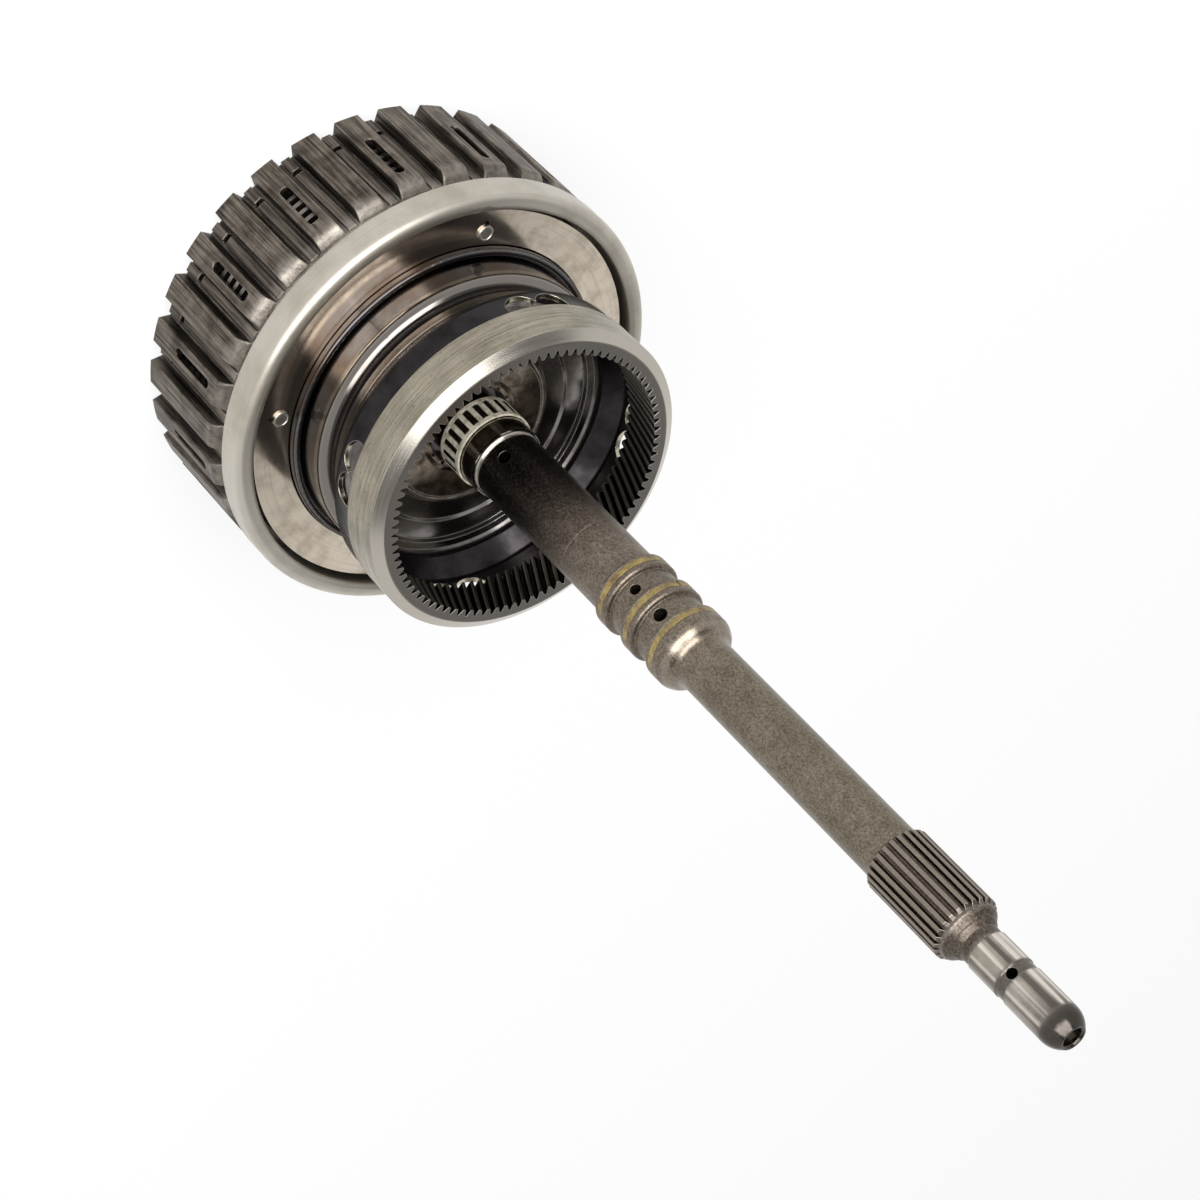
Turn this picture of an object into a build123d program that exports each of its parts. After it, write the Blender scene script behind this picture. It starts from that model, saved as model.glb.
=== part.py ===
from build123d import *
import math
import os

os.makedirs("parts", exist_ok=True)

# Frame and main sizes
# Millimetres. Z is the shaft axis, Z = 0 is the open rim of the drum, +Z points to the shaft nose.
# X is the side that faces the viewer of the photograph.
drum_radius = 82.5
rim_z = 0.0
nose_z = 402.0
seat_gap = 0.05
run_gap = 0.05

# Drum shell sizes
land_count = 30
land_phase = 5.0
land_width = 9.0
land_foot_width = 10.6
land_height = 4.5
land_wall = 2.6
rib_height = 0.9
rib_width = 3.4
shell_wall = 2.1
valley_radius = drum_radius - land_height
rib_radius = valley_radius + rib_height
shell_bore = valley_radius - shell_wall
land_bore = drum_radius - land_wall
land_bore_width = 5.0
land_end_z = 46.0
land_shoulder_z = 40.8
shell_top = 49.4
shell_flange = 3.1
slot_width = 3.8
slot_length = 22.7
slot_z = 25.8
window_z = 8.4
window_height = 2.4

# Clutch pack sizes, counted from the open rim upwards
plate_count = 5
pack_foot = 9.5
end_plate_thickness = 4.9
steel_thickness = 1.7
core_thickness = 0.9
lining_thickness = 0.5
pair_gap = 0.1
step_gap = 0.4
friction_thickness = core_thickness + 2 * lining_thickness
plate_pitch = friction_thickness + pair_gap + steel_thickness + step_gap
friction_foot = pack_foot + end_plate_thickness + step_gap
pack_top = friction_foot + plate_count * plate_pitch
tab_count = land_count // 2
tab_phase = land_phase + 360 / land_count
tab_gap = 0.6
tab_radius = land_bore - tab_gap
tab_width = 4.0
steel_gap = 0.5
steel_radius = shell_bore - steel_gap
steel_bore = 60.2
core_gap = 1.1
core_radius = shell_bore - core_gap
core_bore = 58.6
tooth_tip_bore = 55.4
tooth_count = 30
lining_margin = 0.4
lining_radius = core_radius - lining_margin
lining_bore = 60.8

# Drum head sizes
hub_bore = 12.6
hub_radius = 20.0
hub_foot = 18.0
skirt_gap = 2.1
skirt_wall = 3.6
skirt_radius = shell_bore - skirt_gap
skirt_bore = skirt_radius - skirt_wall
skirt_foot = 38.0
ceiling_z = 52.0
flange_top = 56.5
cup_bore = 53.0
cup_ceiling = 70.0
head_top = 72.6
ledge_z = 74.2
lip_top = 61.4

# Front ring and cover sizes
ring_proud = 0.25
ring_wall = 6.65
ring_radius = drum_radius + ring_proud
ring_bore = ring_radius - ring_wall
ring_foot = 50.8
ring_crest = 62.3
cover_gap = 1.8
cover_radius = ring_bore - cover_gap
cover_bore = 61.0
cover_thickness = 1.7
rivet_count = 4
rivet_phase = -47.8
rivet_circle = 65.6
rivet_head_radius = 3.0
rivet_radius = 2.05

# Ring gear and its dish
gear_teeth = 90
gear_radius = 60.3
gear_root = 53.8
gear_tip = 51.3
gear_foot = 96.1
gear_front = 114.0
gear_shelf = 97.5
gear_lip = 0.65
gear_helix = 23.0
dish_sheet = 1.9
dish_wall_bore = 51.3
dish_wall = dish_wall_bore + dish_sheet
dish_skirt = gear_radius - gear_lip - seat_gap
dish_skirt_bore = dish_skirt - dish_sheet
dish_bore = 15.6
flare_foot = 80.2
flare_top = 87.4
flare_drop = 0.72
scallop_phase = -47.8
scallop_count = 4
scallop_spread = 5.9
scallop_radius = 6.4
scallop_z = 94.9

# Shaft sizes
shaft_foot = 14.0
shaft_radius = 12.5
race_radius = 12.5
race_end = 92.7
shoulder_radius = 13.85
shoulder_end = 99.6
collar_radius = 14.4
neck_radius = 12.8
collar_pitch = 14.45
collar_z = 179.0
collar_back = 2.7
collar_front = 3.4
groove_width = 2.6
groove_radius = 11.9
thin_radius = 9.8
thin_start = 219.0
spline_start = 318.9
spline_end = 353.1
spline_radius = 11.7
spline_root = 10.35
spline_teeth = 25
nose_neck = 6.9
journal_radius = 7.3
journal_start = 362.7
oil_band_z = 377.0
oil_band_depth = 0.35
oil_phase = -3.5

# Needle bearing sizes
roller_count = 22
roller_phase = 9.2
roller_radius = 1.15
roller_circle = race_radius + run_gap + roller_radius
roller_length = 7.6
cage_bore = 14.0
cage_radius = roller_circle + roller_radius - 0.1
cage_foot = 81.4
cage_top = race_end - 0.2
pocket_z = 86.8
pocket_length = roller_length + 0.4
pocket_width = 2 * roller_radius + 0.1

# Piston, spring and retainer sizes
stroke = 2.28
piston_gap = 0.4
piston_radius = skirt_bore - piston_gap
piston_groove = piston_radius - 2.3
piston_bore = 20.35
piston_wall = 52.6
piston_wall_bore = 49.0
piston_top = 69.6
piston_shelf = 51.6
piston_foot = 47.6
apply_z = pack_top
apply_bore = 62.0
apply_radius = piston_radius - 0.6
spring_foot = 54.7
spring_top = 66.1
spring_radius = 36.0
wire_radius = 1.2
retainer_z = 52.3


def save(builder, name):
    builder.part.label = name
    export_step(builder.part, "parts/" + name + ".step")


def side_plane(z, angle):
    a = math.radians(angle)
    return Plane(origin=(0, 0, z), x_dir=(-math.sin(a), math.cos(a), 0), z_dir=(math.cos(a), math.sin(a), 0))


# Input shaft, forged steel, turned, ground and splined, with its oil bores
with BuildPart() as input_shaft:
    with BuildSketch(Plane.XZ):
        with BuildLine():
            Polyline(
                (0, shaft_foot),
                (11.4, shaft_foot),
                (12.4, 15.0),
                (12.4, 15.9),
                (11.5, 15.9),
                (11.5, 17.4),
                (12.4, 17.4),
                (hub_bore - seat_gap, 19.0),
                (hub_bore - seat_gap, head_top),
                (race_radius, 73.4),
                (race_radius, race_end),
                (shoulder_radius - 0.3, race_end),
                (shoulder_radius, race_end + 0.3),
                (shoulder_radius, shoulder_end),
            )
            ThreePointArc(
                (shoulder_radius, shoulder_end),
                (shoulder_radius - 0.45, shoulder_end + 1.6),
                (shaft_radius, shoulder_end + 2.4),
            )
            Line((shaft_radius, shoulder_end + 2.4), (shaft_radius, collar_z - collar_back - 0.2))
            Line((shaft_radius, collar_z - collar_back - 0.2), (collar_radius - 0.3, collar_z - collar_back))
            Polyline(
                (collar_radius - 0.3, collar_z - collar_back),
                (collar_radius, collar_z - collar_back + 0.3),
                (collar_radius, collar_z + collar_front - 0.5),
                (collar_radius - 0.5, collar_z + collar_front),
                (neck_radius, collar_z + collar_front + 0.4),
                (neck_radius, collar_z + collar_pitch - collar_back - 0.4),
                (collar_radius - 0.3, collar_z + collar_pitch - collar_back),
                (collar_radius, collar_z + collar_pitch - collar_back + 0.3),
                (collar_radius, collar_z + collar_pitch + collar_front - 0.5),
                (collar_radius - 0.5, collar_z + collar_pitch + collar_front),
                (neck_radius, collar_z + collar_pitch + collar_front + 0.4),
                (neck_radius, collar_z + 2 * collar_pitch - collar_back - 0.4),
                (collar_radius - 0.3, collar_z + 2 * collar_pitch - collar_back),
                (collar_radius, collar_z + 2 * collar_pitch - collar_back + 0.3),
                (collar_radius, collar_z + 2 * collar_pitch + collar_front),
            )
            shoulder = ThreePointArc(
                (collar_radius, collar_z + 2 * collar_pitch + collar_front),
                (13.4, 213.9),
                (11.6, 215.6),
            )
            ThreePointArc(shoulder @ 1, (10.3, 217.0), (thin_radius, thin_start))
            Polyline(
                (thin_radius, thin_start),
                (thin_radius, spline_start - 0.5),
                (spline_root, spline_start),
                (spline_radius - 0.5, spline_start),
                (spline_radius, spline_start + 0.6),
                (spline_radius, spline_end - 1.0),
                (spline_root + 0.2, spline_end),
                (spline_root, 354.2),
                (8.5, 356.2),
                (8.2, 356.9),
                (nose_neck, 358.6),
                (nose_neck, journal_start - 0.2),
                (journal_radius, journal_start),
                (journal_radius, oil_band_z - 2.1),
                (journal_radius - oil_band_depth, oil_band_z - 1.9),
                (journal_radius - oil_band_depth, oil_band_z + 1.9),
                (journal_radius, oil_band_z + 2.1),
                (journal_radius, nose_z - 6.6),
            )
            ThreePointArc((journal_radius, nose_z - 6.6), (6.5, nose_z - 3.0), (4.4, nose_z))
            Polyline((4.4, nose_z), (0, nose_z), (0, shaft_foot))
        make_face()
    revolve(axis=Axis.Z)
    # Seal grooves
    for k in range(3):
        with BuildSketch(Plane.XZ):
            with Locations((groove_radius, collar_z + k * collar_pitch)):
                Rectangle(5, groove_width, align=(Align.MIN, Align.CENTER))
        revolve(axis=Axis.Z, mode=Mode.SUBTRACT)
    # Scribed line on the wide section
    with BuildSketch(Plane.XZ):
        with Locations((shaft_radius - 0.08, 154.0)):
            Rectangle(1, 0.35, align=(Align.MIN, Align.CENTER))
    revolve(axis=Axis.Z, mode=Mode.SUBTRACT)
    # Turbine spline
    with BuildSketch(Plane.XY.offset(spline_start)):
        with PolarLocations(spline_root, spline_teeth, start_angle=10.1):
            Polygon((0, -0.45), (1.8, -0.95), (1.8, 0.95), (0, 0.45), align=None)
    extrude(amount=spline_end + 1.0 - spline_start, mode=Mode.SUBTRACT)
    # Oil bores from the nose and from the foot, with a wall between them
    with BuildSketch(Plane.XZ):
        with BuildLine():
            Polyline(
                (0, 195.0),
                (3.3, 197.0),
                (3.3, nose_z - 0.6),
                (3.9, nose_z),
                (3.9, nose_z + 1),
                (0, nose_z + 1),
                (0, 195.0),
            )
        make_face()
    revolve(axis=Axis.Z, mode=Mode.SUBTRACT)
    with BuildSketch(Plane.XZ):
        with BuildLine():
            Polyline(
                (0, shaft_foot - 1),
                (8.5, shaft_foot - 1),
                (8.5, 34.0),
                (5.0, 35.0),
                (5.0, 189.0),
                (0, 191.0),
                (0, shaft_foot - 1),
            )
        make_face()
    revolve(axis=Axis.Z, mode=Mode.SUBTRACT)
    # Cross holes
    for hole_z, hole_radius in ((108.4, 2.5), (186.8, 1.95), (201.0, 2.45), (oil_band_z, 1.85)):
        with BuildSketch(side_plane(hole_z, oil_phase)):
            Circle(hole_radius)
        extrude(amount=20, mode=Mode.SUBTRACT)
save(input_shaft, "input_shaft")

# Orifice plug pressed into the nose bore
with BuildPart() as nose_plug:
    with BuildSketch(Plane.XY.offset(nose_z - 5.0)):
        Circle(3.3 - seat_gap)
        Circle(0.9, mode=Mode.SUBTRACT)
    extrude(amount=2.0)
save(nose_plug, "nose_plug")

# Bronze pilot bushing in the foot of the shaft
with BuildPart() as pilot_bushing:
    with BuildSketch(Plane.XY.offset(shaft_foot + 0.6)):
        Circle(8.5 - seat_gap)
        Circle(7.0, mode=Mode.SUBTRACT)
    extrude(amount=18.0)
save(pilot_bushing, "pilot_bushing")

# Snap ring that holds the drum head on the shaft
with BuildPart() as shaft_snap_ring:
    with BuildSketch(Plane.XZ):
        with Locations((11.6, 15.95)):
            Rectangle(3.2, 1.4, align=Align.MIN)
    revolve(axis=Axis.Z, revolution_arc=318)
save(shaft_snap_ring, "shaft_snap_ring")

# Seal rings, one in each collar groove, each with its butt joint
for k, joint_angle in enumerate((140.0, -58.0, 100.0)):
    with BuildPart() as seal_ring:
        with BuildSketch(Plane.XZ):
            with Locations((groove_radius + 0.35, collar_z + k * collar_pitch)):
                Rectangle(collar_radius - groove_radius - 0.35, 2.4, align=(Align.MIN, Align.CENTER))
        revolve(axis=Axis.Z, revolution_arc=356.5)
    seal_ring.part = seal_ring.part.rotate(Axis.Z, joint_angle + 1.75)
    save(seal_ring, "seal_ring_" + str(k + 1))

# Needle bearing cage with its roller pockets
with BuildPart() as needle_cage:
    with BuildSketch(Plane.XY.offset(cage_foot)):
        Circle(cage_radius)
        Circle(cage_bore, mode=Mode.SUBTRACT)
    extrude(amount=cage_top - cage_foot)
    pocket_angles = [roller_phase + k * 360 / roller_count for k in range(roller_count)]
    with BuildSketch(*[side_plane(pocket_z, angle) for angle in pocket_angles]):
        Rectangle(pocket_width, pocket_length)
    extrude(amount=20, mode=Mode.SUBTRACT)
save(needle_cage, "needle_cage")

# Needle rollers
with BuildPart() as needle_rollers:
    with BuildSketch(Plane.XY.offset(pocket_z - roller_length / 2)):
        with PolarLocations(roller_circle, roller_count, start_angle=roller_phase):
            Circle(roller_radius)
    extrude(amount=roller_length)
save(needle_rollers, "needle_rollers")

# Clutch drum shell, stamped steel with thirty lands, slotted in every second land
with BuildPart() as clutch_drum:
    with BuildSketch(Plane.XY):
        Circle(valley_radius)
        with PolarLocations(0, land_count, start_angle=land_phase):
            Polygon(
                (shell_bore - 1, -land_foot_width / 2),
                (valley_radius, -land_foot_width / 2),
                (drum_radius + 1.5, -land_width / 2 + 0.2),
                (drum_radius + 1.5, land_width / 2 - 0.2),
                (valley_radius, land_foot_width / 2),
                (shell_bore - 1, land_foot_width / 2),
                align=None,
            )
        with PolarLocations(0, land_count, start_angle=land_phase + 180 / land_count):
            with Locations((shell_bore - 1, 0)):
                Rectangle(rib_radius - shell_bore + 1, rib_width, align=(Align.MIN, Align.CENTER))
        Circle(drum_radius, mode=Mode.INTERSECT)
        Circle(shell_bore, mode=Mode.SUBTRACT)
    extrude(amount=shell_top)
    # Grooves inside the lands, in which the steel plates slide
    with BuildSketch(Plane.XY.offset(rim_z)):
        with PolarLocations(0, land_count, start_angle=land_phase):
            with Locations((shell_bore - 1, 0)):
                Rectangle(land_bore - shell_bore + 1, land_bore_width, align=(Align.MIN, Align.CENTER))
    extrude(amount=land_shoulder_z - 1.0, mode=Mode.SUBTRACT)
    # Rounded front ends of the lands
    with BuildSketch(Plane.XZ):
        with BuildLine():
            ThreePointArc(
                (drum_radius + 0.6, land_shoulder_z - 0.8), (drum_radius - 0.5, 42.5), (drum_radius - 2.1, 44.2)
            )
            Polyline(
                (drum_radius - 2.1, 44.2),
                (valley_radius + 0.4, land_end_z - 0.4),
                (valley_radius - 0.3, land_end_z),
                (valley_radius - 0.3, shell_top + 1),
                (drum_radius + 2, shell_top + 1),
                (drum_radius + 2, land_shoulder_z - 0.8),
                (drum_radius + 0.6, land_shoulder_z - 0.8),
            )
        make_face()
    revolve(axis=Axis.Z, mode=Mode.SUBTRACT)
    # Front flange
    with BuildSketch(Plane.XY.offset(shell_top - shell_flange)):
        Circle(shell_bore + 0.6)
        Circle(skirt_radius + 0.1, mode=Mode.SUBTRACT)
    extrude(amount=shell_flange)
    # Groove for the pack snap ring
    with BuildSketch(Plane.XZ):
        with Locations((shell_bore - 1, window_z)):
            Rectangle(2.2, 2.2, align=(Align.MIN, Align.CENTER))
    revolve(axis=Axis.Z, mode=Mode.SUBTRACT)
    # Windows in the valleys over the snap ring
    valley_angles = [land_phase + (k + 0.5) * 360 / land_count for k in range(land_count)]
    with BuildSketch(*[side_plane(window_z, angle) for angle in valley_angles]):
        Rectangle(rib_width + 0.2, window_height)
    extrude(amount=drum_radius + 7.5, mode=Mode.SUBTRACT)
    # Oil slots in every second land
    slot_angles = [tab_phase + k * 360 / tab_count for k in range(tab_count)]
    with BuildSketch(*[side_plane(slot_z, angle) for angle in slot_angles]):
        SlotOverall(slot_length, slot_width, rotation=90)
    extrude(amount=drum_radius + 7.5, mode=Mode.SUBTRACT)
save(clutch_drum, "clutch_drum")

# Pale front ring, turned steel, seated on the drum flange
with BuildPart() as rim_ring:
    with BuildSketch(Plane.XZ):
        with BuildLine():
            Polyline(
                (ring_bore, shell_top),
                (valley_radius - 0.9, shell_top),
                (valley_radius - 0.9, ring_foot),
                (ring_radius - 0.5, ring_foot),
                (ring_radius, ring_foot + 0.5),
                (ring_radius - 0.15, 58.2),
            )
            ThreePointArc((ring_radius - 0.15, 58.2), (ring_radius - 1.15, 61.2), (ring_bore + 2.7, ring_crest))
            ThreePointArc((ring_bore + 2.7, ring_crest), (ring_bore + 1.1, ring_crest - 0.15), (ring_bore + 0.1, 61.4))
            Polyline((ring_bore + 0.1, 61.4), (ring_bore, 60.9), (ring_bore, shell_top))
        make_face()
    revolve(axis=Axis.Z)
save(rim_ring, "rim_ring")

# Drum head, turned steel, with hub, piston bore, lip and cup
with BuildPart() as drum_head:
    with BuildSketch(Plane.XZ):
        with BuildLine():
            Polyline(
                (hub_bore, head_top),
                (hub_bore, hub_foot),
                (hub_radius - 0.8, hub_foot),
                (hub_radius, hub_foot + 0.8),
                (hub_radius, retainer_z - 1.75),
                (hub_radius - 1.3, retainer_z - 1.75),
                (hub_radius - 1.3, retainer_z - 0.05),
                (hub_radius, retainer_z - 0.05),
                (hub_radius, cup_ceiling),
                (cup_bore, cup_ceiling),
                (cup_bore, ceiling_z),
                (skirt_bore, ceiling_z),
                (skirt_bore, skirt_foot + 0.8),
                (skirt_bore + 0.8, skirt_foot),
                (skirt_radius, skirt_foot),
                (skirt_radius, flange_top),
                (cover_bore - 0.3, flange_top),
                (cover_bore - 0.5, 60.3),
            )
            ThreePointArc((cover_bore - 0.5, 60.3), (59.9, 61.2), (59.2, lip_top))
            Polyline((59.2, lip_top), (58.4, 60.9), (58.1, 60.0), (57.7, 60.2), (57.4, 62.6), (56.9, 69.6))
            ThreePointArc((56.9, 69.6), (55.9, 72.7), (53.4, ledge_z))
            Polyline((53.4, ledge_z), (50.6, ledge_z), (50.0, head_top), (hub_bore, head_top))
        make_face()
    revolve(axis=Axis.Z)
    # Rivet holes
    with BuildSketch(Plane.XY.offset(ceiling_z - 1)):
        with PolarLocations(rivet_circle, rivet_count, start_angle=rivet_phase):
            Circle(rivet_radius + seat_gap)
    extrude(amount=flange_top - ceiling_z + 2, mode=Mode.SUBTRACT)
save(drum_head, "drum_head")

# Polished cover plate round the lip
with BuildPart() as cover_plate:
    with BuildSketch(Plane.XY.offset(flange_top)):
        Circle(cover_radius)
        Circle(cover_bore, mode=Mode.SUBTRACT)
        with PolarLocations(rivet_circle, rivet_count, start_angle=rivet_phase):
            Circle(rivet_radius + seat_gap, mode=Mode.SUBTRACT)
        with PolarLocations(rivet_circle + 3.1, rivet_count, start_angle=rivet_phase):
            SlotOverall(3.0, 1.8, mode=Mode.SUBTRACT)
    extrude(amount=cover_thickness)
save(cover_plate, "cover_plate")

# Cover rivets, flat round heads
with BuildPart() as cover_rivets:
    with BuildSketch(Plane.XY.offset(ceiling_z)):
        with PolarLocations(rivet_circle, rivet_count, start_angle=rivet_phase):
            Circle(rivet_radius)
    extrude(amount=flange_top + cover_thickness - ceiling_z)
    with BuildSketch(Plane.XY.offset(flange_top + cover_thickness)):
        with PolarLocations(rivet_circle, rivet_count, start_angle=rivet_phase):
            Circle(rivet_head_radius)
    extrude(amount=1.0)
    chamfer(cover_rivets.faces().sort_by(Axis.Z)[-rivet_count:].edges(), 0.3)
save(cover_rivets, "cover_rivets")

# Stepped dish that carries the ring gear, stamped steel
with BuildPart() as gear_dish:
    with BuildSketch(Plane.XZ):
        with BuildLine():
            Polyline((dish_bore, head_top), (dish_bore, 76.9), (17.0, 76.9), (18.6, 76.3), (29.3, 76.3))
            ThreePointArc((29.3, 76.3), (30.4, 77.1), (31.5, 76.2))
            Polyline(
                (31.5, 76.2),
                (32.2, 74.9),
                (39.5, 74.9),
                (40.3, 75.9),
                (47.2, 75.9),
                (47.9, 77.5),
                (50.4, 77.8),
                (dish_wall_bore - 0.1, 78.8),
                (dish_wall_bore, 79.1),
            )
            FilletPolyline(
                (dish_wall_bore, 79.1),
                (dish_wall_bore, flare_foot),
                (dish_skirt_bore, flare_top),
                (dish_skirt_bore, gear_shelf),
                radius=2.4,
            )
            Line((dish_skirt_bore, gear_shelf), (dish_skirt, gear_shelf))
            FilletPolyline(
                (dish_skirt, gear_shelf),
                (dish_skirt, flare_top - flare_drop),
                (dish_wall, flare_foot - flare_drop),
                (dish_wall, 75.9),
                radius=2.4,
            )
            Polyline((dish_wall, 75.9), (52.2, ledge_z), (50.4, ledge_z), (49.7, head_top), (dish_bore, head_top))
        make_face()
    revolve(axis=Axis.Z)
    # Scalloped windows of the skirt, four groups of two lobes, open under the ring gear
    for group in range(scallop_count):
        middle = scallop_phase + group * 360 / scallop_count
        for lobe in (-scallop_spread, scallop_spread):
            with BuildSketch(side_plane(scallop_z, middle + lobe)):
                Circle(scallop_radius)
                Rectangle(2 * scallop_radius, gear_shelf + 1 - scallop_z, align=(Align.CENTER, Align.MIN))
            extrude(amount=80, mode=Mode.SUBTRACT)
    # Serrations round the bore, where the bearing sleeve passes through
    with BuildSketch(Plane.XY.offset(head_top)):
        with PolarLocations(dish_bore + 0.1, 16, start_angle=-9):
            Circle(0.95)
    extrude(amount=6, mode=Mode.SUBTRACT)
save(gear_dish, "gear_dish")

# One helical tooth space of the ring gear, used ninety times
with BuildPart() as tooth_space:
    with BuildSketch(Plane.XY.offset(gear_shelf - 0.5)):
        Polygon((gear_root, -0.3), (gear_root, 0.3), (gear_tip - 0.5, 1.45), (gear_tip - 0.5, -1.45), align=None)
    space_length = gear_front + 0.5 - (gear_shelf - 0.5)
    space_turn = -math.degrees(space_length * math.tan(math.radians(gear_helix)) / gear_tip)
    with BuildSketch(Plane.XY.offset(gear_front + 0.5).rotated((0, 0, space_turn))):
        Polygon((gear_root, -0.3), (gear_root, 0.3), (gear_tip - 0.5, 1.45), (gear_tip - 0.5, -1.45), align=None)
    loft(ruled=True)

# Ring gear, ground steel with internal helical teeth
with BuildPart() as ring_gear:
    with BuildSketch(Plane.XZ):
        with BuildLine():
            Polyline(
                (dish_skirt + seat_gap, gear_foot),
                (gear_radius - 0.4, gear_foot),
                (gear_radius, gear_foot + 0.4),
                (gear_radius, 111.3),
                (56.1, gear_front),
                (gear_tip, gear_front),
                (gear_tip, gear_shelf),
                (dish_skirt + seat_gap, gear_shelf),
                (dish_skirt + seat_gap, gear_foot),
            )
        make_face()
    revolve(axis=Axis.Z)
    with PolarLocations(0, gear_teeth):
        add(tooth_space.part, mode=Mode.SUBTRACT)
save(ring_gear, "ring_gear")

# Clutch piston, cast aluminium, stepped into the cup of the drum head
with BuildPart() as piston:
    with BuildSketch(Plane.XZ):
        with BuildLine():
            Polyline(
                (piston_bore, 59.5),
                (24.5, 59.5),
                (24.5, spring_top + 0.1),
                (piston_wall_bore, spring_top + 0.1),
                (piston_wall_bore, piston_foot),
                (piston_radius, piston_foot),
                (piston_radius, piston_foot + 0.6),
                (piston_groove, piston_foot + 0.6),
                (piston_groove, piston_shelf - 0.6),
                (piston_radius, piston_shelf - 0.6),
                (piston_radius, piston_shelf),
                (piston_wall, piston_shelf),
                (piston_wall, piston_top - 0.6),
                (piston_wall - 0.6, piston_top),
                (piston_bore, piston_top),
                (piston_bore, 65.0),
                (22.4, 65.0),
                (22.4, 62.4),
                (piston_bore, 62.4),
                (piston_bore, 59.5),
            )
        make_face()
    revolve(axis=Axis.Z)
save(piston, "piston")

# Apply ring, turned steel, which carries the push of the piston to the first steel plate
with BuildPart() as apply_ring:
    with BuildSketch(Plane.XY.offset(apply_z)):
        Circle(apply_radius)
        Circle(apply_bore, mode=Mode.SUBTRACT)
    extrude(amount=piston_foot - apply_z)
    chamfer(apply_ring.faces().sort_by(Axis.Z)[0].edges(), 0.5)
save(apply_ring, "apply_ring")

# Outer piston seal, moulded rubber
with BuildPart() as piston_outer_seal:
    with BuildSketch(Plane.XZ):
        with Locations((piston_groove + seat_gap, piston_foot + 0.65)):
            Rectangle(
                skirt_bore - run_gap - piston_groove - seat_gap, piston_shelf - piston_foot - 1.3, align=Align.MIN
            )
    revolve(axis=Axis.Z)
save(piston_outer_seal, "piston_outer_seal")

# Inner piston seal, moulded rubber
with BuildPart() as piston_inner_seal:
    with BuildSketch(Plane.XZ):
        with Locations((hub_radius + run_gap, 62.5)):
            Rectangle(22.35 - hub_radius - run_gap, 2.4, align=Align.MIN)
    revolve(axis=Axis.Z)
save(piston_inner_seal, "piston_inner_seal")

# Return spring, one wide coil of spring steel
with BuildPart() as return_spring:
    with BuildLine(Plane.XY.offset(spring_foot + wire_radius)):
        coil = Helix(
            pitch=(spring_top - spring_foot - 2 * wire_radius) / 2.5,
            height=spring_top - spring_foot - 2 * wire_radius,
            radius=spring_radius,
        )
    with BuildSketch(Plane(origin=coil @ 0, z_dir=coil % 0)):
        Circle(wire_radius)
    sweep()
save(return_spring, "return_spring")

# Spring retainer, stamped steel
with BuildPart() as spring_retainer:
    with BuildSketch(Plane.XZ):
        with BuildLine():
            Polyline(
                (hub_radius + seat_gap, retainer_z),
                (46.5, retainer_z),
                (48.5, 51.0),
                (48.5, 52.0),
                (47.2, 52.0),
                (47.2, 53.6),
                (48.5, 53.6),
                (48.5, spring_foot - 0.1),
                (hub_radius + seat_gap, spring_foot - 0.1),
                (hub_radius + seat_gap, retainer_z),
            )
        make_face()
    revolve(axis=Axis.Z)
save(spring_retainer, "spring_retainer")

# Retainer seal, moulded rubber
with BuildPart() as retainer_seal:
    with BuildSketch(Plane.XZ):
        with Locations((47.25, 52.05)):
            Rectangle(piston_wall_bore - run_gap - 47.25, 1.5, align=Align.MIN)
    revolve(axis=Axis.Z)
save(retainer_seal, "retainer_seal")

# Snap ring under the spring retainer
with BuildPart() as retainer_snap_ring:
    with BuildSketch(Plane.XZ):
        with Locations((hub_radius - 1.2, retainer_z - 1.7)):
            Rectangle(4.4, 1.6, align=Align.MIN)
    revolve(axis=Axis.Z, revolution_arc=325)
save(retainer_snap_ring, "retainer_snap_ring")

# End plate of the clutch pack
with BuildPart() as end_plate:
    with BuildSketch(Plane.XY.offset(pack_foot)):
        Circle(steel_radius)
        with PolarLocations(0, tab_count, start_angle=tab_phase):
            with Locations((steel_radius - 1, 0)):
                Rectangle(tab_radius - steel_radius + 1, tab_width, align=(Align.MIN, Align.CENTER))
        Circle(steel_bore, mode=Mode.SUBTRACT)
    extrude(amount=end_plate_thickness)
save(end_plate, "end_plate")

# Snap ring of the clutch pack
with BuildPart() as pack_snap_ring:
    with BuildSketch(Plane.XZ):
        with Locations((shell_bore - 3.7, window_z - 1.0)):
            Rectangle(4.6, 2.1, align=Align.MIN)
    revolve(axis=Axis.Z, revolution_arc=350)
save(pack_snap_ring, "pack_snap_ring")

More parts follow.
